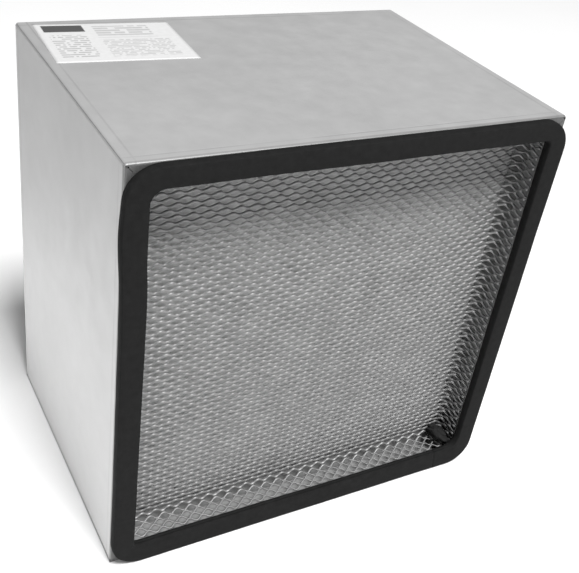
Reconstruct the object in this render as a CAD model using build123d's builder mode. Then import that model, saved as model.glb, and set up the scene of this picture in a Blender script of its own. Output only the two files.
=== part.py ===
from build123d import *
import os

# Main filter of a solder fume extractor: a square sheet-steel box that holds a bed of
# activated carbon behind an expanded-metal face, and a pleated particle filter behind that.
# Millimetres. +Z is up and the box rests on its base panel. The gasketed mesh face looks
# towards -Y. The origin is at the bottom centre of the whole part.

os.makedirs("parts", exist_ok=True)

# ---------------------------------------------------------------- driving dimensions

case_side = 300.0          # outer width and height of the box
case_depth = 210.0         # front sheet face to rear sheet face
sheet = 1.0                # thickness of the case sheet
bend_radius = 2.2          # outer radius of the folds between the walls and the top
flange_fold_radius = 2.0   # outer radius of the folds into the flanges
base_fold_radius = 0.9     # the base panel is folded more sharply
flange_width = 13.0        # front and rear edges turned in, measured from the outside
base_lip_width = 20.0      # lower edges of the side walls turned in over the base panel
corner_gap = 0.5           # open mitre between two flanges
corner_relief_radius = 0.9
corner_relief_inset = 2.0
cutter_reach = 3.0         # how far a cutter runs past one sheet

gasket_thickness = 6.5
gasket_outer_inset = 0.5
gasket_outer_radius = 20.0
gasket_inner_radius = 3.0
gasket_inner_left = 12.8   # inner edge of each side of the gasket, from the outside of the case
gasket_inner_right = 14.1
gasket_inner_top = 13.6
gasket_inner_bottom = 15.7
gasket_joint_gap = 0.4
gasket_joint_inset = 34.0  # joint of the two strip ends, from the right side
adhesive_thickness = 0.3

glue_width = 10.0          # sealant pressed over the joint, inside the recess
glue_length = 19.0
glue_height = 9.0
glue_rounding = 4.0
glue_swing = 24.0          # degrees in plan
glue_dip = 16.0            # degrees up towards the mesh
glue_side_inset = 21.5
glue_depth = 9.8
glue_rise = 20.0

mesh_sheet = 0.8
mesh_recess = 20.0         # front of the case to the flat of the mesh
mesh_rim_lap = 1.0         # how far the mesh rim passes behind the flange
mesh_bend_radius = 6.0
mesh_fold_radius = 5.4     # outer radius where the flat turns into the rim

ledge_width = 16.0
fleece_thickness = 3.0
divider_width = 18.0
divider_web = 10.0

hepa_gasket_thickness = 4.0
hepa_depth = 78.0
hepa_board = 12.0
hepa_side_gap = 2.0        # board to case wall
pressure_seal_thickness = 4.0
pleat_depth = 66.0
pleat_count = 50
pleat_media = 0.5
potting_ends = 5.0         # sealant above and below the pleats
potting_sides = 1.0
bead_pitch = 25.0
bead_width = 2.0
bead_height = 1.2

guard_sheet = 0.8
rear_frame_lip = 10.0

base_rivet_radius = 1.6
base_rivet_head = 3.0
base_rivet_tail = 2.5
base_rivets_per_side = 5
rear_rivet_radius = 1.6
rear_rivet_head = 3.3
rear_rivet_head_height = 1.2
rear_rivet_tail = 2.5
rear_rivet_tail_height = 1.5
rear_rivet_spacing = 100.0
rear_rivets_per_side = 3

label_width = 93.0
label_height = 69.0
label_thickness = 0.15
label_corner_radius = 1.5
label_side_inset = 7.5
label_rear_inset = 8.5
label_turn = -2.8          # degrees: the label is stuck on slightly askew

staple_wire = 1.2
staple_crown = 10.0
staple_leg = 24.0
staples_per_corner = 2

# ---------------------------------------------------------------- places along the depth

total_depth = gasket_thickness + case_depth + rear_rivet_head_height
case_front = -total_depth / 2 + gasket_thickness
case_rear = case_front + case_depth
half = case_side / 2
mid_z = case_side / 2

inner_radius = bend_radius - sheet
inner_width = case_side - 2 * sheet
inner_low = 2 * sheet                       # top of the lips that lie on the base panel
inner_high = case_side - sheet
inner_height = inner_high - inner_low
inner_mid_z = (inner_low + inner_high) / 2

glue_x = half - glue_side_inset
glue_y = case_front + glue_depth
glue_z = glue_rise

mesh_front = case_front + mesh_recess
ledge_front = mesh_front + mesh_sheet
front_fleece_front = ledge_front + sheet
carbon_front = front_fleece_front + fleece_thickness

rear_frame_rear = case_rear - sheet
rear_frame_front = rear_frame_rear - rear_frame_lip
guard_front = rear_frame_front - guard_sheet
pressure_seal_front = guard_front - pressure_seal_thickness
hepa_front = pressure_seal_front - hepa_depth
hepa_gasket_front = hepa_front - hepa_gasket_thickness
divider_front = hepa_gasket_front - sheet
back_mesh_front = divider_front - mesh_sheet
rear_fleece_front = back_mesh_front - fleece_thickness
carbon_depth = rear_fleece_front - carbon_front


def facing_rear(y):
    """Sketch plane at depth y: local x is -X, local y is +Z, and extrusion runs to +Y."""
    return Plane(origin=(0, y, 0), x_dir=(-1, 0, 0), z_dir=(0, 1, 0))


def inner_rectangle():
    """The inside outline of the case, drawn in the current sketch."""
    with Locations((0, inner_mid_z)):
        RectangleRounded(inner_width, inner_height, inner_radius)


def inner_opening(width, height):
    """Square-cornered hole in the current sketch, centred on the inside of the case."""
    with Locations((0, inner_mid_z)):
        Rectangle(width, height, mode=Mode.SUBTRACT)


def write(piece, name):
    piece.part.label = name
    export_step(piece.part, f"parts/{name}.step")


# ---------------------------------------------------------------- fasteners of the case

# Flush rivets hold the base panel to the turned-in lips of the side walls.
base_rivet_x = half - base_lip_width / 2
base_rivet_pitch = case_depth / base_rivets_per_side
with BuildPart() as base_rivets:
    with BuildSketch(Plane.XZ) as base_rivet_half:
        with BuildLine():
            Polyline(
                (0, 0),
                (base_rivet_head, 0),
                (base_rivet_radius, sheet),
                (base_rivet_tail, 2 * sheet),
                (0, 2 * sheet),
                close=True,
            )
        make_face()
    one_base_rivet = revolve(axis=Axis.Z, mode=Mode.PRIVATE)
    with Locations((0, (case_front + case_rear) / 2, 0)):
        with GridLocations(2 * base_rivet_x, base_rivet_pitch, 2, base_rivets_per_side):
            add(one_base_rivet)
write(base_rivets, "base_rivets")

# Domed rivets, whose heads show on the rear face, hold the rear frame to the rear flanges.
rear_rivet_ring = case_side - flange_width
with BuildPart() as rear_rivets:
    with BuildSketch(Plane.XY) as rear_rivet_half:
        with BuildLine():
            tail_top = -2 * sheet - rear_rivet_tail_height
            Polyline(
                (rear_rivet_head, 0),
                (rear_rivet_radius, 0),
                (rear_rivet_radius, -2 * sheet),
                (rear_rivet_tail, -2 * sheet),
                (rear_rivet_tail, tail_top),
                (0, tail_top),
                (0, rear_rivet_head_height),
            )
            TangentArc((0, rear_rivet_head_height), (rear_rivet_head, 0), tangent=(1, 0))
        make_face()
    one_rear_rivet = revolve(axis=Axis.Y, mode=Mode.PRIVATE)
    spots = []
    for step in range(rear_rivets_per_side):
        along = (step - (rear_rivets_per_side - 1) / 2) * rear_rivet_spacing
        for side in (-1, 1):
            spots.append((along, case_rear, mid_z + side * rear_rivet_ring / 2))
            spots.append((side * rear_rivet_ring / 2, case_rear, mid_z + along))
    with Locations(*spots):
        add(one_rear_rivet)
write(rear_rivets, "rear_rivets")

# ---------------------------------------------------------------- case


def mitre_slots(y):
    """Cutter for the open 45 degree joints of the upper corners, with a relief at the fold."""
    run = flange_width * 2
    with BuildPart() as slots:
        for side in (-1, 1):
            relief_x = side * (half - corner_relief_inset)
            relief_z = case_side - corner_relief_inset
            with BuildSketch(facing_rear(y - sheet)):
                with BuildLine() as joint:
                    Line((relief_x, relief_z), (relief_x - side * run, relief_z - run))
                trace(joint.line, line_width=corner_gap)
                with Locations((relief_x, relief_z)):
                    Circle(corner_relief_radius)
            extrude(amount=cutter_reach)
    return slots.part


front_mitres = mitre_slots(case_front)
rear_mitres = mitre_slots(case_rear - sheet)

# One sheet makes the left wall, the top and the right wall, with lips below and flanges
# at the front and rear.
with BuildPart() as case_wrap:
    with BuildSketch(facing_rear(case_front)) as wrap_outline:
        with Locations((0, (case_side + sheet) / 2)):
            RectangleRounded(case_side, case_side - sheet, bend_radius)
    extrude(amount=case_depth)
    front_fold = faces().sort_by(Axis.Y)[0].edges()
    rear_fold = faces().sort_by(Axis.Y)[-1].edges()
    fillet(front_fold + rear_fold, radius=flange_fold_radius)
    with BuildSketch(facing_rear(case_front + sheet)) as wrap_inside:
        with Locations((0, inner_mid_z)):
            RectangleRounded(inner_width, inner_height, inner_radius)
    extrude(amount=case_depth - 2 * sheet, mode=Mode.SUBTRACT)
    with BuildSketch(facing_rear(case_front)) as wrap_mouth:
        with Locations((0, mid_z)):
            Rectangle(case_side - 2 * flange_width, case_side - 2 * flange_width)
    extrude(amount=case_depth, mode=Mode.SUBTRACT)
    # The lips run between the flanges of the base panel and leave the middle open.
    with BuildSketch(facing_rear(case_front)) as wrap_floor:
        with Locations((0, sheet)):
            Rectangle(case_side - 2 * base_lip_width, 2 * cutter_reach)
    extrude(amount=case_depth, mode=Mode.SUBTRACT)
    # The lower corners of the front and rear flanges belong to the base panel.
    for y in (case_front, case_rear - sheet):
        with BuildSketch(facing_rear(y)) as base_flange_space:
            with BuildLine():
                Polyline(
                    (-half - corner_gap, -corner_gap),
                    (half + corner_gap, -corner_gap),
                    (half - flange_width - corner_gap, flange_width),
                    (-half + flange_width + corner_gap, flange_width),
                    close=True,
                )
            make_face()
        extrude(amount=sheet, mode=Mode.SUBTRACT)
    add(front_mitres, mode=Mode.SUBTRACT)
    add(rear_mitres, mode=Mode.SUBTRACT)
    add(base_rivets.part, mode=Mode.SUBTRACT)
    add(rear_rivets.part, mode=Mode.SUBTRACT)
write(case_wrap, "case_wrap")

with BuildPart() as base_panel:
    with BuildSketch(Plane.XY) as panel_outline:
        with Locations((0, (case_front + case_rear) / 2)):
            Rectangle(case_side, case_depth)
    extrude(amount=sheet)
    for y in (case_front, case_rear - sheet):
        with BuildSketch(facing_rear(y)) as panel_flange:
            with BuildLine():
                Polyline(
                    (-half + corner_gap, 0),
                    (half - corner_gap, 0),
                    (half - flange_width, flange_width - corner_gap),
                    (-half + flange_width, flange_width - corner_gap),
                    close=True,
                )
            make_face()
        extrude(amount=sheet)
    outer_folds = edges().filter_by(Axis.X).group_by(Axis.Z)[0]
    fillet(outer_folds, radius=base_fold_radius)
    add(base_rivets.part, mode=Mode.SUBTRACT)
    add(rear_rivets.part, mode=Mode.SUBTRACT)
write(base_panel, "base_panel")

# ---------------------------------------------------------------- gasket of the mesh face

gasket_open_width = case_side - gasket_inner_left - gasket_inner_right
gasket_open_height = case_side - gasket_inner_top - gasket_inner_bottom
gasket_open_x = (gasket_inner_left - gasket_inner_right) / 2
gasket_open_z = mid_z + (gasket_inner_bottom - gasket_inner_top) / 2
gasket_outer_side = case_side - 2 * gasket_outer_inset


def gasket_outline(inset):
    """Ring of foam strip: bent round on the outside, nearly square on the inside."""
    with Locations((0, mid_z)):
        RectangleRounded(
            gasket_outer_side - 2 * inset,
            gasket_outer_side - 2 * inset,
            gasket_outer_radius - inset,
        )
    with Locations((-gasket_open_x, gasket_open_z)):
        RectangleRounded(
            gasket_open_width + 2 * inset,
            gasket_open_height + 2 * inset,
            gasket_inner_radius + inset,
            mode=Mode.SUBTRACT,
        )


# The strip ends meet with a slit in the lower run, near the right-hand corner.
with BuildPart() as sealing_gasket:
    with BuildSketch(facing_rear(case_front - gasket_thickness)):
        gasket_outline(0)
        with Locations((gasket_joint_inset - half, gasket_inner_bottom / 2)):
            Rectangle(gasket_joint_gap, gasket_inner_bottom + sheet, mode=Mode.SUBTRACT)
    extrude(amount=gasket_thickness - adhesive_thickness)
write(sealing_gasket, "sealing_gasket")

with BuildPart() as gasket_adhesive:
    with BuildSketch(facing_rear(case_front - adhesive_thickness)):
        gasket_outline(sheet)
    extrude(amount=adhesive_thickness)
write(gasket_adhesive, "gasket_adhesive")

# A lump of black sealant was pressed into the lower right corner of the recess.
with BuildPart() as gasket_joint_glue:
    with Locations(Location((glue_x, glue_y, glue_z), (glue_dip, 0, glue_swing))):
        Box(glue_width, glue_length, glue_height)
    fillet(edges(), radius=glue_rounding)
write(gasket_joint_glue, "gasket_joint_glue")

# ---------------------------------------------------------------- mesh face

mesh_outer = case_side - 2 * (flange_width - mesh_rim_lap)
mesh_rim_front = case_front + sheet

# The expanded metal is pressed into a tray whose rim points to the front.
with BuildPart() as front_mesh:
    with BuildSketch(facing_rear(mesh_rim_front)):
        with Locations((0, mid_z)):
            RectangleRounded(mesh_outer, mesh_outer, mesh_bend_radius)
    extrude(amount=ledge_front - mesh_rim_front)
    fillet(faces().sort_by(Axis.Y)[-1].edges(), radius=mesh_fold_radius)
    offset(amount=-mesh_sheet, openings=faces().sort_by(Axis.Y)[0])
write(front_mesh, "front_mesh")

# Four angles welded inside the walls carry the back of the mesh tray.
ledge_length = inner_width - 2 * inner_radius
with BuildPart() as mesh_ledge_top:
    with BuildSketch(Plane.YZ.offset(-ledge_length / 2)):
        with Locations((ledge_front, inner_high - ledge_width)):
            Rectangle(sheet, ledge_width, align=(Align.MIN, Align.MIN))
        with Locations((mesh_rim_front, inner_high - sheet)):
            Rectangle(ledge_front - mesh_rim_front, sheet, align=(Align.MIN, Align.MIN))
    extrude(amount=ledge_length)
write(mesh_ledge_top, "mesh_ledge_top")

with BuildPart() as mesh_ledge_bottom:
    mirror(mesh_ledge_top.part, about=Plane.XY.offset(inner_mid_z))
write(mesh_ledge_bottom, "mesh_ledge_bottom")

with BuildPart() as mesh_ledge_left:
    with BuildSketch(Plane.XY.offset(inner_low + ledge_width)):
        with Locations((-inner_width / 2, ledge_front)):
            Rectangle(ledge_width, sheet, align=(Align.MIN, Align.MIN))
        with Locations((-inner_width / 2, mesh_rim_front)):
            Rectangle(sheet, ledge_front - mesh_rim_front, align=(Align.MIN, Align.MIN))
    extrude(amount=inner_height - 2 * ledge_width)
write(mesh_ledge_left, "mesh_ledge_left")

with BuildPart() as mesh_ledge_right:
    mirror(mesh_ledge_left.part, about=Plane.YZ)
write(mesh_ledge_right, "mesh_ledge_right")

# ---------------------------------------------------------------- gas stage


def full_layer(name, front, thickness):
    """Layer that fills the whole inside of the case."""
    with BuildPart() as layer:
        with BuildSketch(facing_rear(front)):
            inner_rectangle()
        extrude(amount=thickness)
    write(layer, name)


full_layer("front_fleece", front_fleece_front, fleece_thickness)
full_layer("carbon_bed", carbon_front, carbon_depth)
full_layer("rear_fleece", rear_fleece_front, fleece_thickness)
full_layer("carbon_back_mesh", back_mesh_front, mesh_sheet)

with BuildPart() as divider_frame:
    with BuildSketch(facing_rear(divider_front)):
        inner_rectangle()
        inner_opening(inner_width - 2 * divider_width, inner_height - 2 * divider_width)
    extrude(amount=sheet)
    with BuildSketch(facing_rear(divider_front)):
        inner_rectangle()
        inner_opening(inner_width - 2 * sheet, inner_height - 2 * sheet)
    extrude(amount=divider_web)
write(divider_frame, "divider_frame")

# ---------------------------------------------------------------- particle stage

hepa_width = inner_width - 2 * hepa_side_gap
hepa_height = inner_height - 2 * hepa_side_gap
hepa_low = inner_low + hepa_side_gap
pack_front = hepa_front + (hepa_depth - pleat_depth) / 2


def seal_ring(name, front, thickness):
    """Foam ring that bears on the edges of the four frame boards."""
    with BuildPart() as ring:
        with BuildSketch(facing_rear(front)):
            with Locations((0, inner_mid_z)):
                Rectangle(hepa_width, hepa_height)
            inner_opening(hepa_width - 2 * hepa_board, hepa_height - 2 * hepa_board)
        extrude(amount=thickness)
    write(ring, name)


seal_ring("hepa_gasket", hepa_gasket_front, hepa_gasket_thickness)
seal_ring("pressure_seal", pressure_seal_front, pressure_seal_thickness)

# Staples are driven through the top and bottom boards into the ends of the side boards.
staple_z = hepa_height / 2 - staple_wire
with BuildPart() as hepa_staples:
    with BuildSketch(Plane.YZ) as staple_outline:
        Rectangle(staple_crown, staple_wire, align=(Align.CENTER, Align.MIN))
        for leg in (-1, 1):
            with Locations((leg * (staple_crown - staple_wire) / 2, 0)):
                Rectangle(staple_wire, staple_leg, align=(Align.CENTER, Align.MAX))
    one_staple = extrude(amount=staple_wire / 2, both=True, mode=Mode.PRIVATE)
    staple_x = (hepa_width - hepa_board) / 2
    staple_y = hepa_front + hepa_depth / 2
    staple_spread = hepa_depth / staples_per_corner
    with Locations((0, staple_y, inner_mid_z + staple_z)):
        with GridLocations(2 * staple_x, staple_spread, 2, staples_per_corner):
            add(one_staple)
    mirror(about=Plane.XY.offset(inner_mid_z))
write(hepa_staples, "hepa_staples")


def hepa_board_piece(name, width, height, x, z):
    """Board of the particle filter's frame, with the staples let in."""
    with BuildPart() as board:
        with BuildSketch(facing_rear(hepa_front)):
            with Locations((-x, z)):
                Rectangle(width, height)
        extrude(amount=hepa_depth)
        add(hepa_staples.part, mode=Mode.SUBTRACT)
    write(board, name)


board_x = (hepa_width - hepa_board) / 2
board_z = (hepa_height - hepa_board) / 2
side_board_height = hepa_height - 2 * hepa_board
hepa_board_piece("hepa_board_top", hepa_width, hepa_board, 0, inner_mid_z + board_z)
hepa_board_piece("hepa_board_bottom", hepa_width, hepa_board, 0, inner_mid_z - board_z)
hepa_board_piece("hepa_board_left", hepa_board, side_board_height, -board_x, inner_mid_z)
hepa_board_piece("hepa_board_right", hepa_board, side_board_height, board_x, inner_mid_z)

pocket_width = hepa_width - 2 * hepa_board
pack_width = pocket_width - 2 * potting_sides
pack_height = side_board_height - 2 * potting_ends
pack_low = hepa_low + hepa_board + potting_ends

with BuildPart() as hepa_potting:
    with BuildSketch(facing_rear(pack_front)):
        with Locations((0, inner_mid_z)):
            Rectangle(pocket_width, side_board_height)
            Rectangle(pack_width, pack_height, mode=Mode.SUBTRACT)
    extrude(amount=pleat_depth)
write(hepa_potting, "hepa_potting")

# The media runs to and fro through the depth of the pack, with a round fold at each turn.
flank_pitch = (pack_width - pleat_media) / (2 * pleat_count)
fold_radius = flank_pitch / 2
flank_length = pleat_depth - 2 * (fold_radius + pleat_media / 2)
flank_y = pack_front + pleat_depth / 2
first_flank_x = -(pack_width - pleat_media) / 2
with BuildPart() as hepa_pleats:
    with BuildSketch(Plane.XY.offset(pack_low)):
        with Locations((0, flank_y)):
            with GridLocations(flank_pitch, 0, 2 * pleat_count + 1, 1):
                Rectangle(pleat_media, flank_length)
        for turn in range(2 * pleat_count):
            end = 1 if turn % 2 else -1
            fold_x = first_flank_x + (turn + 0.5) * flank_pitch
            fold_y = flank_y + end * flank_length / 2
            with BuildLine() as fold:
                ThreePointArc(
                    (fold_x - fold_radius, fold_y),
                    (fold_x, fold_y + end * fold_radius),
                    (fold_x + fold_radius, fold_y),
                )
            trace(fold.line, line_width=pleat_media)
    extrude(amount=pack_height)
write(hepa_pleats, "hepa_pleats")

# Glue beads across both faces of the pack keep the pleats apart.
bead_count = int(pack_height / bead_pitch)
with BuildPart() as pleat_beads:
    for y in (pack_front - bead_height, pack_front + pleat_depth):
        with BuildSketch(facing_rear(y)):
            with Locations((0, inner_mid_z)):
                with GridLocations(0, bead_pitch, 1, bead_count):
                    SlotOverall(pack_width, bead_width)
        extrude(amount=bead_height)
write(pleat_beads, "pleat_beads")

# ---------------------------------------------------------------- rear closure

with BuildPart() as guard_mesh:
    with BuildSketch(facing_rear(guard_front)):
        with Locations((0, inner_mid_z)):
            Rectangle(hepa_width, hepa_height)
    extrude(amount=guard_sheet)
write(guard_mesh, "guard_mesh")

rear_mouth = case_side - 2 * flange_width
with BuildPart() as rear_frame:
    with BuildSketch(facing_rear(rear_frame_rear - sheet)):
        inner_rectangle()
        with Locations((0, mid_z)):
            Rectangle(rear_mouth, rear_mouth, mode=Mode.SUBTRACT)
    extrude(amount=sheet)
    with BuildSketch(facing_rear(rear_frame_front)):
        with Locations((0, mid_z)):
            Rectangle(rear_mouth + 2 * sheet, rear_mouth + 2 * sheet)
            Rectangle(rear_mouth, rear_mouth, mode=Mode.SUBTRACT)
    extrude(amount=rear_frame_lip)
    add(rear_rivets.part, mode=Mode.SUBTRACT)
write(rear_frame, "rear_frame")

# ---------------------------------------------------------------- label

label_x = -half + label_side_inset + label_width / 2
label_y = case_rear - label_rear_inset - label_height / 2
with BuildPart() as filter_label:
    with BuildSketch(Plane.XY.offset(case_side)):
        with Locations((label_x, label_y)):
            with Locations(Rotation(0, 0, label_turn)):
                RectangleRounded(label_width, label_height, label_corner_radius)
    extrude(amount=label_thickness)
write(filter_label, "filter_label")
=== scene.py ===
import math
import bpy
from mathutils import Matrix, Vector, noise


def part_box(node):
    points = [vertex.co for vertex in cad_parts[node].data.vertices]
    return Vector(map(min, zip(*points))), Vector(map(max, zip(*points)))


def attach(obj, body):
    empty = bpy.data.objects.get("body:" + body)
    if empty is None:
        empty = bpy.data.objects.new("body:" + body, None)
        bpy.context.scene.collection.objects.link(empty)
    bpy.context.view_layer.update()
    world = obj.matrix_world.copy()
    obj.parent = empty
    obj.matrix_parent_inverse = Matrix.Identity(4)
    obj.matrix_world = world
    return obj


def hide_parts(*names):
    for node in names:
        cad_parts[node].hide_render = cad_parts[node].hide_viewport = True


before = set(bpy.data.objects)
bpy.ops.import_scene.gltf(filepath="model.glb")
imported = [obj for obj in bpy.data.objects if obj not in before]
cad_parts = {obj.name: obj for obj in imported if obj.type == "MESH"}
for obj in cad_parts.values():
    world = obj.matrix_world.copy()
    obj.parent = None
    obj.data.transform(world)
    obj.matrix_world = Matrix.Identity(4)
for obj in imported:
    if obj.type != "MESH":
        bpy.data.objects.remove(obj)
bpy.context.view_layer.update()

# ---------------------------------------------------------------- sizes, in metres

MM = 0.001

CASE_LOW, CASE_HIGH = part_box("case_wrap")
GASKET_LOW, GASKET_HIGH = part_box("sealing_gasket")
MESH_LOW, MESH_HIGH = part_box("front_mesh")
SIDE = CASE_HIGH.x - CASE_LOW.x
HALF = SIDE / 2
FRONT = CASE_LOW.y
REAR = CASE_HIGH.y
MID_Z = SIDE / 2

# coated sheet
CREASE_INSET = 7.0 * MM       # from each fold of the case
CREASE_CORE = 0.2 * MM        # a crease fades out between these distances from its middle
CREASE_EDGE = 0.9 * MM
SKIN = 0.5 * MM               # deeper than this into the sheet counts as the case's inside
FLANGE_NEAR = 0.5 * MM        # the painted shade on the front flange and the fold into it fades out between these depths from the front
FLANGE_FAR = 2.5 * MM


# ---------------------------------------------------------------- helpers


def wobble(seed, x, y=0.0, z=0.0):
    """Smooth repeatable noise from -1 to 1."""
    return noise.noise(Vector((x + 17.3 * seed, y - 9.1 * seed, z + 4.7 * seed)))


def ripple(layers, x, y=0.0):
    """Adds up layers of noise, each given as (height, seed, waves per metre)."""
    return sum(height * wobble(seed, x * pace, y * pace) for height, seed, pace in layers)


def build(name, points, faces):
    data = bpy.data.meshes.new(name)
    data.from_pydata([tuple(p) for p in points], [], faces)
    data.validate()
    data.polygons.foreach_set("use_smooth", [True] * len(data.polygons))
    piece = bpy.data.objects.new(name, data)
    bpy.context.scene.collection.objects.link(piece)
    return piece


def finish_piece(piece, material, slot, *nodes):
    piece.data.materials.clear()
    piece.data.materials.append(material)
    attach(piece, "root")
    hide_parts(*nodes)


def ring_faces(start, sections, around):
    """Quads between rings of points that follow one another, with flat ends."""
    faces = []
    for s in range(sections - 1):
        here = start + s * around
        there = here + around
        for k in range(around):
            n = (k + 1) % around
            faces.append((here + k, here + n, there + n, there + k))
    faces.append(tuple(start + k for k in reversed(range(around))))
    last = start + (sections - 1) * around
    faces.append(tuple(last + k for k in range(around)))
    return faces


def mat_faces(columns, rows, up):
    """Faces of a thin mat made of two grids of points, one after the other.

    With up the first grid is the underside, without it the first grid is the front.
    """
    count = (columns + 1) * (rows + 1)
    outside, under = (count, 0) if up else (0, count)
    faces = []
    for row in range(rows):
        for column in range(columns):
            a = row * (columns + 1) + column
            b, c, d = a + 1, a + columns + 2, a + columns + 1
            faces.append(tuple(outside + k for k in (a, b, c, d)))
            faces.append(tuple(under + k for k in (a, d, c, b)))
    rim = list(range(columns + 1))
    rim += [row * (columns + 1) + columns for row in range(1, rows + 1)]
    rim += [rows * (columns + 1) + column for column in reversed(range(columns))]
    rim += [row * (columns + 1) for row in reversed(range(1, rows))]
    for k, here in enumerate(rim):
        there = rim[(k + 1) % len(rim)]
        first, last = (here, there) if up else (there, here)
        faces.append((first, last, count + last, count + first))
    return faces


# ---------------------------------------------------------------- materials

NOISE_LOW, NOISE_HIGH = 0.3, 0.7     # most values of a noise texture lie between these


class Recipe:
    """A material with one Principled shader, and short calls that add nodes to it."""

    def __init__(self, name, color, roughness, metallic=0.0, **inputs):
        self.material = bpy.data.materials.new(name)
        self.material.use_nodes = True
        self.tree = self.material.node_tree
        self.shader = self.tree.nodes["Principled BSDF"]
        self.set("Base Color", (*color, 1.0))
        self.set("Roughness", roughness)
        self.set("Metallic", metallic)
        for key, value in inputs.items():
            self.set(key.replace("_", " "), value)
        self.place = self.tree.nodes.new("ShaderNodeTexCoord").outputs["Object"]

    def set(self, socket, value):
        self.shader.inputs[socket].default_value = value

    def plug(self, source, target):
        if isinstance(source, (int, float)):
            target.default_value = source
        else:
            self.tree.links.new(source, target)

    def math(self, operation, a, b=0.0, c=0.0):
        node = self.tree.nodes.new("ShaderNodeMath")
        node.operation = operation
        for socket, value in zip(node.inputs, (a, b, c)):
            self.plug(value, socket)
        return node.outputs[0]

    def axes(self):
        node = self.tree.nodes.new("ShaderNodeSeparateXYZ")
        self.plug(self.place, node.inputs[0])
        return node.outputs

    def stretched(self, scale):
        node = self.tree.nodes.new("ShaderNodeMapping")
        node.inputs["Scale"].default_value = scale
        self.plug(self.place, node.inputs["Vector"])
        return node.outputs[0]

    def noise(self, scale, detail=3.0, roughness=0.5, source=None):
        node = self.tree.nodes.new("ShaderNodeTexNoise")
        node.inputs["Scale"].default_value = scale
        node.inputs["Detail"].default_value = detail
        node.inputs["Roughness"].default_value = roughness
        self.plug(source or self.place, node.inputs["Vector"])
        return node.outputs["Fac"]

    def cells(self, scale):
        node = self.tree.nodes.new("ShaderNodeTexVoronoi")
        node.inputs["Scale"].default_value = scale
        self.plug(self.place, node.inputs["Vector"])
        return node.outputs["Distance"]

    def remap(self, value, low, high, out_low=0.0, out_high=1.0):
        node = self.tree.nodes.new("ShaderNodeMapRange")
        for key, number in (
            ("From Min", low), ("From Max", high), ("To Min", out_low), ("To Max", out_high)
        ):
            node.inputs[key].default_value = number
        self.plug(value, node.inputs["Value"])
        return node.outputs["Result"]

    def blend(self, amount, first, second):
        node = self.tree.nodes.new("ShaderNodeMix")
        node.data_type = "RGBA"
        self.plug(amount, node.inputs["Factor"])
        for socket, color in ((node.inputs["A"], first), (node.inputs["B"], second)):
            if isinstance(color, tuple):
                socket.default_value = (*color, 1.0)
            else:
                self.tree.links.new(color, socket)
        return node.outputs["Result"]

    def spread(self, pattern, low=0.0, high=1.0):
        """Stretches a noise pattern over the range from low to high."""
        return self.remap(pattern, NOISE_LOW, NOISE_HIGH, low, high)

    def color(self, source):
        self.plug(source, self.shader.inputs["Base Color"])

    def mottle(self, pattern, first, second):
        """Colours the surface between two colours by a noise pattern."""
        self.color(self.blend(self.spread(pattern), first, second))

    def roughness(self, pattern, low, high):
        self.plug(self.spread(pattern, low, high), self.shader.inputs["Roughness"])

    def bump(self, height, distance, strength=1.0, below=None):
        node = self.tree.nodes.new("ShaderNodeBump")
        node.inputs["Distance"].default_value = distance
        node.inputs["Strength"].default_value = strength
        self.plug(height, node.inputs["Height"])
        if below is not None:
            self.tree.links.new(below, node.inputs["Normal"])
        self.tree.links.new(node.outputs[0], self.shader.inputs["Normal"])
        return node.outputs[0]


def grey(value):
    return (value, value, value)


def sheet_steel():
    """Coated steel: soft clouding, creases beside the folds with painted shade along them, painted
    shade inside the case and on the front flange.
    """
    m = Recipe("coated sheet steel", grey(0.50), 0.48, 0.45)
    x, y, z = m.axes()
    clouds = m.spread(m.noise(9.0, 4.0, 0.55))
    # the press brake leaves a fine line a little inside each fold; the line is drawn as a bump and
    # also as painted shade, a darker colour along it
    lines = 0.0
    for distance in (
        m.math("SUBTRACT", m.math("ABSOLUTE", x), HALF - CREASE_INSET),
        m.math("SUBTRACT", y, FRONT + CREASE_INSET),
        m.math("SUBTRACT", y, REAR - CREASE_INSET),
    ):
        line = m.remap(m.math("ABSOLUTE", distance), CREASE_CORE, CREASE_EDGE, 1.0, 0.0)
        lines = m.math("MAXIMUM", lines, line)
    broken = m.remap(m.noise(14.0, 3.0, 0.6), 0.35, 0.6, 0.25, 1.0)
    lines = m.math("MULTIPLY", lines, broken)
    # painted shade: steel deeper than SKIN inside the case is coloured darker, standing in for the
    # shade in the recess
    middle_y = (FRONT + REAR) / 2
    inside = 1.0
    for place, middle, half in (
        (x, 0.0, HALF), (z, MID_Z, MID_Z), (y, middle_y, (REAR - FRONT) / 2)
    ):
        off_middle = m.math("ABSOLUTE", m.math("SUBTRACT", place, middle))
        inside = m.math("MULTIPLY", inside, m.math("LESS_THAN", off_middle, half - SKIN))
    outer = m.blend(clouds, grey(0.54), grey(0.58))
    # painted shade: the crease lines are coloured darker
    outer = m.blend(m.math("MULTIPLY", lines, 0.35), outer, grey(0.30))
    # painted shade: the front flange and the fold into it are coloured dark, standing in for the
    # gasket's shadow and damping the fold's highlight
    flange_shade = m.remap(y, FRONT + FLANGE_NEAR, FRONT + FLANGE_FAR, 1.0, 0.0)
    outer = m.blend(flange_shade, outer, grey(0.14))
    # the darker inside is painted shade
    m.color(m.blend(inside, outer, grey(0.33)))
    m.roughness(m.noise(60.0, 5.0, 0.6), 0.44, 0.54)
    waves = m.bump(m.noise(5.0, 2.0, 0.4), 1.2 * MM, 0.3)
    folds = m.bump(m.math("MULTIPLY", lines, -1.0), 0.15 * MM, 0.8, waves)
    m.bump(m.noise(1100.0, 3.0, 0.6), 0.02 * MM, 0.5, folds)
    return m.material


def mesh_steel():
    m = Recipe("expanded steel", grey(0.52), 0.5, 0.6)
    m.mottle(m.noise(70.0, 3.0), grey(0.26), grey(0.33))
    m.roughness(m.noise(300.0, 3.0), 0.48, 0.6)
    m.bump(m.noise(900.0, 2.0, 0.5), 0.03 * MM, 0.3)
    return m.material


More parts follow.
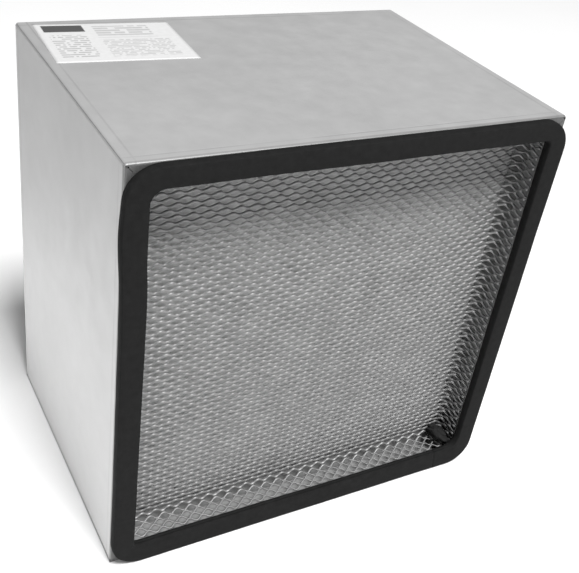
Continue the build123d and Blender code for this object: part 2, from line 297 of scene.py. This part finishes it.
def gasket_foam():
    """Closed-cell black foam: matt, with fine open pores in its skin."""
    m = Recipe("black sponge foam", grey(0.010), 0.92, 0.0, Specular_IOR_Level=0.18)
    pores = m.remap(m.cells(1500.0), 0.05, 0.45)
    m.color(m.blend(m.remap(m.noise(220.0, 4.0, 0.6), 0.3, 0.75), grey(0.008), grey(0.013)))
    soft = m.bump(m.noise(90.0, 3.0, 0.5), 0.35 * MM, 0.5)
    m.bump(pores, 0.10 * MM, 0.6, soft)
    return m.material


def black_sealant():
    m = Recipe("black sealant", grey(0.012), 0.8, 0.0, Specular_IOR_Level=0.2)
    m.roughness(m.noise(240.0, 3.0), 0.7, 0.9)
    m.bump(m.noise(420.0, 4.0, 0.6), 0.25 * MM, 0.6)
    return m.material


def fleece():
    """Bonded fibre fleece: a soft grey mat with crossing fibres."""
    m = Recipe("bonded fleece", grey(0.6), 0.95, 0.0, Sheen_Weight=0.25)
    one = m.noise(620.0, 3.0, 0.6, m.stretched((1.0, 1.0, 0.12)))
    two = m.noise(620.0, 3.0, 0.6, m.stretched((0.12, 1.0, 1.0)))
    fibres = m.math("MAXIMUM", one, two)
    mottle = m.spread(m.noise(45.0, 4.0, 0.6))
    m.color(m.blend(m.remap(m.math("MULTIPLY", fibres, mottle), 0.0, 0.7), grey(0.44), grey(0.58)))
    m.bump(fibres, 0.25 * MM, 0.8)
    return m.material


def carbon():
    m = Recipe("carbon granules", grey(0.018), 0.6, 0.0)
    grains = m.cells(420.0)
    m.color(m.blend(m.remap(grains, 0.1, 0.6), grey(0.035), grey(0.008)))
    m.bump(grains, 1.2 * MM, 1.0)
    return m.material


def seal_foam():
    m = Recipe("grey seal foam", grey(0.09), 0.9, 0.0)
    m.mottle(m.noise(160.0, 4.0), grey(0.07), grey(0.11))
    m.bump(m.cells(1200.0), 0.12 * MM, 0.7)
    return m.material


def fibreboard():
    m = Recipe("fibreboard", (0.42, 0.30, 0.19), 0.8, 0.0)
    speck = m.noise(500.0, 5.0, 0.7)
    m.mottle(speck, (0.36, 0.25, 0.155), (0.48, 0.355, 0.235))
    m.bump(speck, 0.06 * MM, 0.6)
    return m.material


def filter_paper():
    m = Recipe("glass fibre paper", (0.84, 0.84, 0.82), 0.9, 0.0)
    fibres = m.noise(900.0, 4.0, 0.65)
    m.mottle(fibres, (0.79, 0.79, 0.765), (0.87, 0.87, 0.85))
    m.bump(fibres, 0.05 * MM, 0.7)
    return m.material


def resin():
    m = Recipe("potting resin", (0.70, 0.66, 0.52), 0.35, 0.0)
    flow = m.noise(60.0, 4.0, 0.5)
    m.mottle(flow, (0.64, 0.60, 0.46), (0.76, 0.72, 0.58))
    m.bump(flow, 0.3 * MM, 0.5)
    return m.material


def glue_bead():
    m = Recipe("hot melt glue", (0.78, 0.75, 0.64), 0.3, 0.0)
    m.roughness(m.noise(200.0, 3.0), 0.22, 0.42)
    m.bump(m.noise(350.0, 3.0), 0.15 * MM, 0.6)
    return m.material


def rivet_metal():
    m = Recipe("rivet aluminium", grey(0.66), 0.3, 0.9)
    m.mottle(m.noise(400.0, 3.0), grey(0.58), grey(0.70))
    m.roughness(m.noise(900.0, 3.0), 0.25, 0.42)
    m.bump(m.noise(1400.0, 2.0), 0.02 * MM, 0.5)
    return m.material


def adhesive_film():
    m = Recipe("adhesive film", (0.62, 0.60, 0.50), 0.5, 0.0)
    m.roughness(m.noise(120.0, 3.0), 0.4, 0.65)
    m.bump(m.noise(500.0, 2.0), 0.03 * MM, 0.4)
    return m.material


def label_print(width, height):
    """White paper label with a plain dark bar, a rule and rows of grey dashes, all generic."""
    m = Recipe("printed label", grey(0.80), 0.5, 0.0)
    x, y, _ = m.axes()
    u = m.math("ADD", x, width / 2)
    v = m.math("SUBTRACT", height / 2, y)
    edge = 0.35 * MM

    def inside(value, low, high):
        up = m.remap(value, low - edge, low + edge)
        down = m.remap(value, high - edge, high + edge, 1.0, 0.0)
        return m.math("MULTIPLY", up, down)

    def box(left, right, rear, front):
        return m.math("MULTIPLY", inside(u, left, right), inside(v, rear, front))

    def dashes(pitch, fill, piece, seed, keep):
        """Rows of short dashes of uneven length."""
        row = m.math("FLOOR", m.math("DIVIDE", v, pitch))
        in_row = m.math("SUBTRACT", m.math("DIVIDE", v, pitch), row)
        off_middle = m.math("ABSOLUTE", m.math("SUBTRACT", in_row, 0.5))
        line = m.remap(off_middle, fill / 2, fill / 2 + 0.1, 1.0, 0.0)
        column = m.math("FLOOR", m.math("DIVIDE", u, piece))
        spot = m.tree.nodes.new("ShaderNodeCombineXYZ")
        m.plug(column, spot.inputs[0])
        m.plug(row, spot.inputs[1])
        spot.inputs[2].default_value = seed
        chance = m.tree.nodes.new("ShaderNodeTexWhiteNoise")
        m.plug(spot.outputs[0], chance.inputs["Vector"])
        shown = m.math("LESS_THAN", chance.outputs["Value"], keep)
        return m.math("MULTIPLY", line, shown)

    def rows(left, right, rear, front, pitch, fill, piece, seed, keep):
        """A block of dashes, with its sizes in mm."""
        area = box(left * MM, right * MM, rear * MM, front * MM)
        return m.math("MULTIPLY", area, dashes(pitch * MM, fill, piece * MM, seed, keep))

    dark_bar = box(4.5 * MM, 31.5 * MM, 4 * MM, 16 * MM)
    thin_rule = box(37 * MM, 78 * MM, 27.2 * MM, 27.9 * MM)
    ink = 0.0
    for mask, strength in (
        (dark_bar, 0.93),
        (rows(6, 30, 22, 62, 3.4, 0.34, 1.6, 1, 0.72), 0.42),
        (rows(38, 76, 6, 24, 4.2, 0.55, 2.4, 2, 0.8), 0.30),
        (rows(38, 84, 31, 61, 2.6, 0.4, 1.5, 3, 0.75), 0.30),
        (thin_rule, 0.25),
    ):
        ink = m.math("MAXIMUM", ink, m.math("MULTIPLY", mask, strength))
    paper = m.blend(m.spread(m.noise(300.0, 3.0)), grey(0.60), grey(0.64))
    m.color(m.blend(ink, paper, grey(0.05)))
    m.plug(m.remap(ink, 0.0, 1.0, 0.52, 0.38), m.shader.inputs["Roughness"])
    m.bump(m.noise(700.0, 3.0), 0.02 * MM, 0.5)
    return m.material


def pale_floor():
    m = Recipe("pale floor", grey(0.82), 0.6, 0.0)
    m.mottle(m.noise(3.0, 3.0), grey(0.81), grey(0.83))
    m.set("Emission Color", (1.0, 1.0, 1.0, 1.0))
    m.set("Emission Strength", FLOOR_GLOW)
    return m.material


# ---------------------------------------------------------------- expanded metal

LONG_PITCH = 10.07 * MM
SHORT_PITCH = 7.64 * MM
STRAND_THICKNESS = 0.9 * MM
FACE_STRAND_WIDTH = 1.8 * MM
FACE_STRAND_TILT = math.radians(27)    # the upper edge of each strand leans to the rear
FACE_BOW = 1.5                # how much deeper a strand swings than its tilt alone gives
FACE_STEPS = 10               # points along a strand in each long pitch
FACE_SEED = 3
FLAT_STRAND_WIDTH = 1.65 * MM
FLAT_STRAND_TILT = math.radians(28)
BOND_SHARE = 0.3              # part of each half pitch that is flat at a bond
BOND_EASE = 0.35              # how much of a strand's path is rounded, the rest is straight
CHAMFER = 0.34                # half of the flat part of a strand's face, as a share of its width
SHEET_BUCKLE = 0.25 * MM      # slow waves in the sheet's depth
SHEET_PACE = 9.0
STRAND_SHAKE = 0.07 * MM      # small differences between strands
STRAND_PACE = 120.0
ROW_PACE = 3.1
MESH_BEND = 6.0 * MM          # radius of the bend between the tray's floor and its rim
CUT_MARGIN = 0.4 * MM         # from the rim to the ends of the strands that are cut at a corner
FLAT_MARGIN = 0.5 * MM        # from the edge of the CAD sheet to the ends of its strands


def wave(phase):
    """Path of a strand over one pitch: low at phase 0, high at 0.5, flat for a while at both."""
    t = 1.0 - abs((phase % 1.0) * 2.0 - 1.0)
    t = min(max((t - BOND_SHARE / 2) / (1.0 - BOND_SHARE), 0.0), 1.0)
    rounded = t * t * (3.0 - 2.0 * t)
    return 2.0 * (rounded * BOND_EASE + t * (1.0 - BOND_EASE)) - 1.0


def expanded_metal(name, half_u, half_v, fold, steps, seed, width, tilt, bow=1.0):
    """Raised expanded metal over a flat sheet, cut to size, then carried into place by fold.

    Each strand runs to and fro across its row, and joins the next row's strand at every
    bond. fold(u, v, n, v_mid) turns a point of the flat sheet into a point in space, or None
    where the sheet is cut away. n is the depth off the sheet, towards the rear, and v_mid is
    the v of the strand's middle.
    """
    row_pitch = SHORT_PITCH / 2
    lift = width * math.sin(tilt)
    rise = width * math.cos(tilt)
    swing = row_pitch / 2 - rise / 2
    along_v = (math.sin(tilt), math.cos(tilt))       # (n, v) across the width
    across = (math.cos(tilt), -math.sin(tilt))       # (n, v) through the thickness
    # (share of the width, share of the thickness) round a strand
    section = [
        (-0.5, 0.0), (-CHAMFER, -0.5), (CHAMFER, -0.5),
        (0.5, 0.0), (CHAMFER, 0.5), (-CHAMFER, 0.5),
    ]
    step = LONG_PITCH / steps
    rows = int(half_v / row_pitch)
    columns = int(half_u / step)
    points, faces = [], []
    for row in range(-rows, rows + 1):
        phase = 0.5 * (row % 2)
        run = 0
        start = len(points)
        for column in range(-columns, columns + 1):
            u = column * step
            position = wave(u / LONG_PITCH + phase)
            v = row * row_pitch + swing * position
            n = -lift / 2 * position * bow
            n += SHEET_BUCKLE * wobble(seed, u * SHEET_PACE, v * SHEET_PACE)
            v += STRAND_SHAKE * wobble(seed + 1, u * STRAND_PACE, row * ROW_PACE)
            ring = []
            for a, b in section:
                nn = n + a * width * along_v[0] + b * STRAND_THICKNESS * across[0]
                vv = v + a * width * along_v[1] + b * STRAND_THICKNESS * across[1]
                ring.append(fold(u, vv, nn, v))
            if None in ring:
                if run > 1:
                    faces += ring_faces(start, run, len(section))
                run, start = 0, len(points)
                continue
            points += ring
            run += 1
        if run > 1:
            faces += ring_faces(start, run, len(section))
    return build(name, points, faces)


def tray_fold(reach, flat_y, rim_end):
    """Folds the edges of a flat sheet forward into the rim of a tray."""
    straight = reach - MESH_BEND
    quarter = MESH_BEND * math.pi / 2
    limit = straight + quarter + (flat_y - MESH_BEND - rim_end)

    def bend(along, n):
        over = abs(along) - straight
        side = 1.0 if along > 0 else -1.0
        if over <= 0:
            return along, flat_y + n
        radius = MESH_BEND + n
        if over < quarter:
            angle = over / MESH_BEND
            return (
                side * (straight + radius * math.sin(angle)),
                flat_y - MESH_BEND + radius * math.cos(angle),
            )
        return side * (straight + radius), flat_y - MESH_BEND - (over - quarter)

    def fold(u, v, n, v_mid):
        over_u, over_v = abs(u) - straight, abs(v_mid) - straight
        if over_v > max(over_u, 0.0):
            if abs(u) > reach - CUT_MARGIN or abs(v) > limit:
                return None
            z, y = bend(v, n)
            return Vector((u, y, MID_Z + z))
        if abs(v) > reach - CUT_MARGIN or abs(u) > limit:
            return None
        x, y = bend(u, n)
        return Vector((x, y, MID_Z + v))

    return fold, limit


def flat_fold(half_u, half_v, flat_y, middle_z):
    def fold(u, v, n, v_mid):
        if abs(u) > half_u or abs(v) > half_v:
            return None
        return Vector((u, flat_y + n, middle_z + v))

    return fold


def make_front_mesh(material):
    width, tilt = FACE_STRAND_WIDTH, FACE_STRAND_TILT
    depth = (1 + FACE_BOW) * width * math.sin(tilt) + STRAND_THICKNESS * math.cos(tilt)
    reach = MESH_HIGH.x - depth / 2
    flat_y = MESH_HIGH.y - depth / 2
    fold, limit = tray_fold(reach, flat_y, MESH_LOW.y)
    piece = expanded_metal(
        "face_mesh", limit, limit, fold, FACE_STEPS, FACE_SEED, width, tilt, FACE_BOW
    )
    finish_piece(piece, material, "mesh_steel", "front_mesh")


def make_flat_mesh(name, node, material, steps, seed):
    low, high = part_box(node)
    half_u = (high.x - low.x) / 2 - FLAT_MARGIN
    half_v = (high.z - low.z) / 2 - FLAT_MARGIN
    middle_y = (low.y + high.y) / 2
    fold = flat_fold(half_u, half_v, middle_y, (low.z + high.z) / 2)
    piece = expanded_metal(
        name, half_u, half_v, fold, steps, seed, FLAT_STRAND_WIDTH, FLAT_STRAND_TILT
    )
    finish_piece(piece, material, "mesh_steel", node)


# ---------------------------------------------------------------- foam gasket

GASKET_FACE = GASKET_LOW.y
GASKET_BACK = GASKET_HIGH.y
OUTER_CORNER = 20.0 * MM
INNER_CORNER = 3.5 * MM
WIDE_INNER_CORNER = 13.0 * MM     # at the lower right, where the strip is forced round
SLACK_INNER_CORNER = 9.0 * MM     # at the upper left
INNER_LEFT = 12.8 * MM
INNER_RIGHT = 14.1 * MM
INNER_TOP = 13.6 * MM
INNER_BOTTOM = 15.7 * MM
JOINT_FROM_RIGHT = 34.0 * MM
JOINT_GAP = 0.4 * MM
STATION_SPACING = 2.0 * MM
STRIP_EDGE = 0.9 * MM         # rounding of the strip's front edges
STRIP_CROWN = 0.22 * MM       # how far the middle of its face stands forward of the edges
STRIP_BULGE = 0.25 * MM       # how far its sides bulge
FACE_CLEARANCE = 0.2 * MM     # from the front of the CAD strip to the edges of this face
OUTWARD_LIMIT = -0.4 * MM     # the sway takes the outer side no further out than this
SWAY = ((0.45 * MM, 5, 11), (0.2 * MM, 6, 45))       # outer side, as ripple layers
PINCH = ((0.55 * MM, 7, 14), (0.15 * MM, 8, 60))     # inner side
PUFF = ((0.18 * MM, 9, 18),)                         # face
SWELL_BASE = 0.6 * MM         # the left side stands out by this, and by more near its top
SWELL_MORE = 2.0 * MM
SWELL_HEIGHT = 259.0 * MM
SWELL_SPREAD = 18.0 * MM
SWELL_REACH = 12.0 * MM
SPREAD_MORE = 1.7 * MM        # the left side's lower part reaches further in
SPREAD_HEIGHT = 232.0 * MM
SPREAD_SOFTNESS = 8.0 * MM
SPREAD_REACH = 6.0 * MM
LEAN_BACK = 2.2 * MM          # the lower run's inner edge lies back by this
LEAN_REACH = 8.0 * MM


def gasket_stations():
    """Pairs of outer and inner points round the ring, from the joint, rightwards and up."""
    out = GASKET_HIGH.x
    left, right = -HALF + INNER_LEFT, HALF - INNER_RIGHT
    low, high = INNER_BOTTOM, SIDE - INNER_TOP
    outer_low, outer_high = MID_Z - out, MID_Z + out
    stations = []

    def run(first_out, last_out, first_in, last_in):
        outer, inner = Vector(first_out), Vector(first_in)
        outer_end, inner_end = Vector(last_out), Vector(last_in)
        steps = max(2, int((outer_end - outer).length / STATION_SPACING))
        for s in range(steps):
            stations.append((outer.lerp(outer_end, s / steps), inner.lerp(inner_end, s / steps)))

    def corner(out_centre, in_centre, start, bend=INNER_CORNER, steps=14):
        for s in range(steps):
            angle = math.radians(start + 90.0 * s / steps)
            way = Vector((math.cos(angle), math.sin(angle)))
            stations.append(
                (Vector(out_centre) + OUTER_CORNER * way, Vector(in_centre) + bend * way)
            )

    r, i, wide, slack = OUTER_CORNER, INNER_CORNER, WIDE_INNER_CORNER, SLACK_INNER_CORNER
    joint = HALF - JOINT_FROM_RIGHT
    run((joint, outer_low), (out - r, outer_low), (joint, low), (right - wide, low))
    corner((out - r, outer_low + r), (right - wide, low + wide), -90, wide)
    run((out, outer_low + r), (out, outer_high - r), (right, low + wide), (right, high - i))
    corner((out - r, outer_high - r), (right - i, high - i), 0)
    run((out - r, outer_high), (-out + r, outer_high), (right - i, high), (left + slack, high))
    corner((-out + r, outer_high - r), (left + slack, high - slack), 90, slack)
    run((-out, outer_high - r), (-out, outer_low + r), (left, high - slack), (left, low + i))
    corner((-out + r, outer_low + r), (left + i, low + i), 180)
    run((-out + r, outer_low), (joint, outer_low), (left + i, low), (joint, low))
    stations.append((Vector((joint, outer_low)), Vector((joint, low))))
    stations[0] = (stations[0][0] + Vector((JOINT_GAP, 0)), stations[0][1] + Vector((JOINT_GAP, 0)))
    return stations


def hump(distance, spread):
    return math.exp(-0.5 * (distance / spread) ** 2)


def left_swell(spot):
    """How far the strip's left side stands out past the case there, most near its top."""
    near = max(0.0, 1.0 - (spot.x + GASKET_HIGH.x) / SWELL_REACH)
    return near * (SWELL_BASE + SWELL_MORE * hump(spot.y - SWELL_HEIGHT, SWELL_SPREAD))


def left_spread(spot):
    """How much further the left side reaches into the opening, lower down."""
    near = max(0.0, 1.0 - (spot.x + HALF - INNER_LEFT) / SPREAD_REACH)
    above = (spot.y - SPREAD_HEIGHT) / SPREAD_SOFTNESS
    return near * SPREAD_MORE / (1.0 + math.exp(above))


def gasket_profile():
    """Closed section: (share across from outside to inside, share of depth, two offsets)."""
    arc_steps, face_steps, waist = 4, 6, 0.45
    edge = STRIP_EDGE
    section = []
    for start, across in ((180, 0.0), (270, 1.0)):
        for s in range(arc_steps + 1):
            angle = math.radians(start + 90.0 * s / arc_steps)
            section.append((across, 0.0, edge * math.cos(angle), edge * math.sin(angle)))
        if across == 0.0:
            for s in range(1, face_steps):
                section.append((s / face_steps, 0.0, 0.0, -edge))
    section.append((1.0, waist, edge, 0.0))
    section.append((1.0, 1.0, edge, 0.0))
    section.append((0.0, 1.0, -edge, 0.0))
    section.append((0.0, waist, -edge, 0.0))
    return section


def make_gasket(material):
    """A foam strip bent round the mesh face, a little uneven, with its ends butted."""
    section = gasket_profile()
    stations = gasket_stations()
    thickness = GASKET_BACK - GASKET_FACE
    edge = STRIP_EDGE
    points = []
    travelled = 0.0
    last = stations[0][0]
    for outer, inner in stations:
        travelled += (outer - last).length
        last = outer
        across = (inner - outer).normalized()
        sway = max(ripple(SWAY, travelled), OUTWARD_LIMIT)
        outer = outer + across * (sway - left_swell(outer))
        inner = inner + across * (ripple(PINCH, travelled) + left_spread(inner))
        lean = max(0.0, 1.0 - (outer.y - MID_Z + GASKET_HIGH.x) / LEAN_REACH)
        face = GASKET_FACE + FACE_CLEARANCE + edge + ripple(PUFF, travelled)
        base_out, base_in = outer + across * edge, inner - across * edge
        for share, deep, off_across, off_depth in section:
            spot = base_out.lerp(base_in, share) + across * off_across
            if deep > 0.0:
                y = GASKET_FACE + thickness * deep
                bulge = STRIP_BULGE * math.sin(math.pi * deep)
                spot = spot + across * (-bulge if share == 0.0 else bulge)
            else:
                crown = -STRIP_CROWN * math.sin(math.pi * share)
                y = face + off_depth + crown + LEAN_BACK * lean * share
            points.append(Vector((spot.x, y, spot.y)))
    faces = ring_faces(0, len(stations), len(section))
    piece = build("foam_gasket", points, faces)
    finish_piece(piece, material, "gasket_foam", "sealing_gasket")


# ---------------------------------------------------------------- sealant

SEALANT_TURN = 24.0           # degrees in plan
SEALANT_DIP = 16.0            # degrees down towards the front
SEALANT_RADII = Vector((5.4 * MM, 9.6 * MM, 4.9 * MM))
SEALANT_LUMPS = ((0.3, 11, 1.9), (0.14, 12, 4.5))     # (share of the radius, seed, pace)


def make_sealant(material):
    """A thumbed lump of sealant in the lower right corner of the recess."""
    low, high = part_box("gasket_joint_glue")
    centre = (low + high) / 2
    plan = Matrix.Rotation(math.radians(SEALANT_TURN), 3, "Z")
    turn = plan @ Matrix.Rotation(math.radians(SEALANT_DIP), 3, "X")
    around, rings = 48, 30
    points = []
    for ring in range(rings):
        polar = math.pi * (ring + 0.5) / rings
        out = math.sin(polar)
        for k in range(around):
            angle = 2 * math.pi * k / around
            way = Vector((out * math.cos(angle), math.cos(polar), out * math.sin(angle)))
            lump = 1.0
            for share, seed, pace in SEALANT_LUMPS:
                lump += share * wobble(seed, *(way * pace))
            spot = Vector([w * radius for w, radius in zip(way, SEALANT_RADII)]) * lump
            points.append(centre + turn @ spot)
    piece = build("sealant_lump", points, ring_faces(0, rings, around))
    finish_piece(piece, material, "black_sealant", "gasket_joint_glue")


# ---------------------------------------------------------------- fleece pads

FLEECE_GRID = 96
FLEECE_MARGIN = 0.4 * MM
FLEECE_BORDER = 18.0          # the border takes up one part in this many of the width
FLEECE_INSET = 0.3 * MM       # of each face from the node's box, away from the edges
FLEECE_DROP = 0.6 * MM        # more inset at the very edge
FLEECE_LEAST = 0.05 * MM
EDGE_CALM = 0.4               # how much of the unevenness is left at the edge


def make_fleece(name, node, material, seed):
    """A soft mat with a slightly uneven face, plump between its edges."""
    low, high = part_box(node)
    size = high - low
    uneven = ((0.35 * MM, seed, 40), (0.15 * MM, seed + 1, 160))
    points = []
    for front in (True, False):
        for row in range(FLEECE_GRID + 1):
            for column in range(FLEECE_GRID + 1):
                s, t = column / FLEECE_GRID, row / FLEECE_GRID
                body = min(min(s, 1 - s, t, 1 - t) * FLEECE_BORDER, 1.0)
                x = low.x + FLEECE_MARGIN + s * (size.x - 2 * FLEECE_MARGIN)
                z = low.z + FLEECE_MARGIN + t * (size.z - 2 * FLEECE_MARGIN)
                bump = ripple(uneven, x, z) * (EDGE_CALM + (1.0 - EDGE_CALM) * body)
                inset = FLEECE_INSET + FLEECE_DROP * (1.0 - body) + bump
                inset = max(inset, FLEECE_LEAST)
                points.append(Vector((x, low.y + inset if front else high.y - inset, z)))
    piece = build(name, points, mat_faces(FLEECE_GRID, FLEECE_GRID, up=False))
    finish_piece(piece, material, "white_fleece", node)


# ---------------------------------------------------------------- label and rivets

LABEL_TURN = -2.8             # degrees
LABEL_COLUMNS, LABEL_ROWS = 40, 30
LABEL_THICKNESS = 0.12 * MM
BUBBLE_HEIGHT = 0.05 * MM
BUBBLE_PACE = 70.0
BUBBLE_BORDER = 4.0 * MM
CURL_HEIGHT = 0.10 * MM
CURL_PACE = 30.0
CURL_BORDER = 3.0 * MM


def label_relief(x, y, edge):
    """Height of the paper over its flat place: bubbles inside, curled borders."""
    bubble = max(wobble(21, x * BUBBLE_PACE, y * BUBBLE_PACE), 0.0)
    bubble *= BUBBLE_HEIGHT * min(edge / BUBBLE_BORDER, 1.0)
    curl = max(wobble(22, x * CURL_PACE, y * CURL_PACE), 0.0)
    curl *= CURL_HEIGHT * max(0.0, 1 - edge / CURL_BORDER)
    return bubble + curl


def make_label():
    low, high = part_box("filter_label")
    turn = math.radians(LABEL_TURN)
    span = high - low
    # the outline's box grows with the turn, so the flat size follows from it
    c, s = math.cos(turn), abs(math.sin(turn))
    width = (span.x * c - span.y * s) / (c * c - s * s)
    height = (span.y * c - span.x * s) / (c * c - s * s)
    points = []
    for top in (False, True):
        for row in range(LABEL_ROWS + 1):
            for column in range(LABEL_COLUMNS + 1):
                x = (column / LABEL_COLUMNS - 0.5) * width
                y = (row / LABEL_ROWS - 0.5) * height
                edge = min(width / 2 - abs(x), height / 2 - abs(y))
                z = LABEL_THICKNESS + label_relief(x, y, edge) if top else 0.0
                points.append(Vector((x, y, z)))
    piece = build("paper_label", points, mat_faces(LABEL_COLUMNS, LABEL_ROWS, up=True))
    middle = (low + high) / 2
    place = Matrix.Translation((middle.x, middle.y, low.z))
    piece.matrix_world = place @ Matrix.Rotation(turn, 4, "Z")
    finish_piece(piece, label_print(width, height), "label_film", "filter_label")


RIVET_TURNS = 28              # points round a rivet
RIVET_PITCH = 100.0 * MM
RIVET_INSET = 6.5 * MM        # of the rivets' line from the case's side


def lathe(profile, centre, axis_rotation):
    """Revolves (radius, height) points about an axis through centre."""
    points = []
    for radius, height in profile:
        for k in range(RIVET_TURNS):
            angle = 2 * math.pi * k / RIVET_TURNS
            spot = Vector((radius * math.cos(angle), radius * math.sin(angle), height))
            points.append(centre + axis_rotation @ spot)
    return points


def make_rear_rivets(material):
    """Blind rivets: a low dome with a set-in mandrel, a shank, and a swollen tail."""
    low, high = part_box("rear_rivets")
    head = high.y - REAR
    sheet = 1.0 * MM
    profile = [
        (0.02 * MM, -3.4 * MM), (1.9 * MM, -3.4 * MM), (2.5 * MM, -2.9 * MM),
        (2.4 * MM, -2 * sheet), (1.6 * MM, -2 * sheet), (1.6 * MM, -0.02 * MM),
        (3.25 * MM, 0.0), (3.3 * MM, 0.2 * MM), (3.0 * MM, 0.52 * MM), (2.4 * MM, 0.82 * MM),
        (1.7 * MM, 1.0 * MM), (1.2 * MM, head), (1.0 * MM, head - 0.05 * MM),
        (0.95 * MM, 0.6 * MM), (0.9 * MM, 0.55 * MM), (0.85 * MM, 0.75 * MM),
        (0.5 * MM, 0.85 * MM), (0.02 * MM, 0.87 * MM),
    ]
    to_rear = Matrix.Rotation(math.radians(-90), 3, "X")
    ring = HALF - RIVET_INSET
    points, faces = [], []
    for along in (-RIVET_PITCH, 0.0, RIVET_PITCH):
        for side in (-1, 1):
            for x, z in ((along, MID_Z + side * ring), (side * ring, MID_Z + along)):
                start = len(points)
                points += lathe(profile, Vector((x, REAR, z)), to_rear)
                faces += ring_faces(start, len(profile), RIVET_TURNS)
    piece = build("blind_rivets", points, faces)
    finish_piece(piece, material, "rivet_aluminium", "rear_rivets")


# ---------------------------------------------------------------- the CAD nodes that stay


def dress(material, *nodes):
    for node in nodes:
        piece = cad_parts[node]
        for slot in piece.material_slots:
            slot.material = material


# ---------------------------------------------------------------- stage

CAMERA_PLACE = Vector((-0.99078, -1.30699, 1.70681))   # case sides from the front's lower middle
CAMERA_AZIMUTH = 33.11
CAMERA_ELEVATION = 33.29
CAMERA_ROLL = 8.98
CAMERA_LENS = 57.27
CAMERA_SENSOR = 36.0
CAMERA_CLIP = 0.01

WORLD_HORIZON = 0.10
WORLD_ZENITH = 0.56
ZENITH_FROM = 0.9             # height on the sky's unit sphere where the full light starts
FLOOR_GLOW = 0.12
FLOOR_REACH = 8.0
FLOOR_DROP = 0.2 * MM         # keeps the floor clear of the base
BOX_MIDDLE = (0.0, 0.0, MID_Z)
LEFT_FOOT = (-HALF, 0.0, 0.0)
LIGHTS = (
    # name, target, direction, distance, width, height, power
    ("key", BOX_MIDDLE, (0.03, -0.42, 0.89), 6.0, 1.9, 1.9, 590.0),
    ("right_fill", BOX_MIDDLE, (0.75, -0.62, 0.25), 3.0, 1.2, 1.2, 4.0),
    ("left_fill", LEFT_FOOT, (-1.0, 0.0, 0.0), 0.14, 0.6, 0.1, 0.38),
)


def make_camera():
    data = bpy.data.cameras.new("camera")
    data.lens = CAMERA_LENS
    data.sensor_width = CAMERA_SENSOR
    data.clip_start = CAMERA_CLIP
    camera = bpy.data.objects.new("camera", data)
    bpy.context.scene.collection.objects.link(camera)
    azimuth, elevation = math.radians(CAMERA_AZIMUTH), math.radians(CAMERA_ELEVATION)
    ahead = Vector(
        (
            math.sin(azimuth) * math.cos(elevation),
            math.cos(azimuth) * math.cos(elevation),
            -math.sin(elevation),
        )
    )
    level = ahead.cross(Vector((0, 0, 1))).normalized()
    upward = level.cross(ahead)
    roll = math.radians(CAMERA_ROLL)
    right = level * math.cos(roll) + upward * math.sin(roll)
    up = right.cross(ahead)
    turn = Matrix((right, up, -ahead)).transposed().to_4x4()
    place = Vector((0.0, FRONT, 0.0)) + CAMERA_PLACE * SIDE
    camera.matrix_world = Matrix.Translation(place) @ turn
    bpy.context.scene.camera = camera


def area_light(name, target, direction, distance, width, height, power):
    data = bpy.data.lights.new(name, "AREA")
    data.shape = "RECTANGLE"
    data.size = width
    data.size_y = height
    data.energy = power
    light = bpy.data.objects.new(name, data)
    bpy.context.scene.collection.objects.link(light)
    way = Vector(direction).normalized()
    light.location = Vector(target) + way * distance
    light.rotation_euler = way.to_track_quat("Z", "Y").to_euler()


def make_world():
    """Soft white light from above that falls off to grey round the horizon."""
    world = bpy.data.worlds.new("studio")
    world.use_nodes = True
    tree = world.node_tree
    place = tree.nodes.new("ShaderNodeTexCoord")
    axes = tree.nodes.new("ShaderNodeSeparateXYZ")
    ramp = tree.nodes.new("ShaderNodeMapRange")
    ramp.inputs["From Min"].default_value = 0.0
    ramp.inputs["From Max"].default_value = ZENITH_FROM
    ramp.inputs["To Min"].default_value = WORLD_HORIZON
    ramp.inputs["To Max"].default_value = WORLD_ZENITH
    tree.links.new(place.outputs["Generated"], axes.inputs[0])
    tree.links.new(axes.outputs["Z"], ramp.inputs["Value"])
    tree.links.new(ramp.outputs["Result"], tree.nodes["Background"].inputs["Strength"])
    bpy.context.scene.world = world


def make_stage():
    reach = FLOOR_REACH
    floor = build(
        "floor",
        [(-reach, -reach, 0), (reach, -reach, 0), (reach, reach, 0), (-reach, reach, 0)],
        [(0, 1, 2, 3)],
    )
    floor.location.z = -FLOOR_DROP
    floor.data.materials.append(pale_floor())
    for light in LIGHTS:
        area_light(*light)
    make_world()
    bpy.context.scene.view_settings.view_transform = "Standard"


# ---------------------------------------------------------------- put together

make_camera()
make_stage()

steel = sheet_steel()
strands = mesh_steel()
foam = seal_foam()
board = fibreboard()
fleece_mat = fleece()

dress(steel, "case_wrap", "base_panel", "rear_frame", "divider_frame")
dress(steel, "mesh_ledge_top", "mesh_ledge_bottom", "mesh_ledge_left", "mesh_ledge_right")
dress(rivet_metal(), "base_rivets", "hepa_staples")
dress(adhesive_film(), "gasket_adhesive")
dress(carbon(), "carbon_bed")
dress(foam, "hepa_gasket", "pressure_seal")
dress(board, "hepa_board_top", "hepa_board_bottom", "hepa_board_left", "hepa_board_right")
dress(filter_paper(), "hepa_pleats")
dress(resin(), "hepa_potting")
dress(glue_bead(), "pleat_beads")

make_front_mesh(strands)
make_flat_mesh("rear_guard", "guard_mesh", strands, steps=8, seed=31)
make_flat_mesh("carbon_screen", "carbon_back_mesh", strands, steps=4, seed=41)
make_gasket(gasket_foam())
make_sealant(black_sealant())
make_fleece("face_fleece", "front_fleece", fleece_mat, seed=51)
make_fleece("screen_fleece", "rear_fleece", fleece_mat, seed=61)
make_label()
make_rear_rivets(rivet_metal())
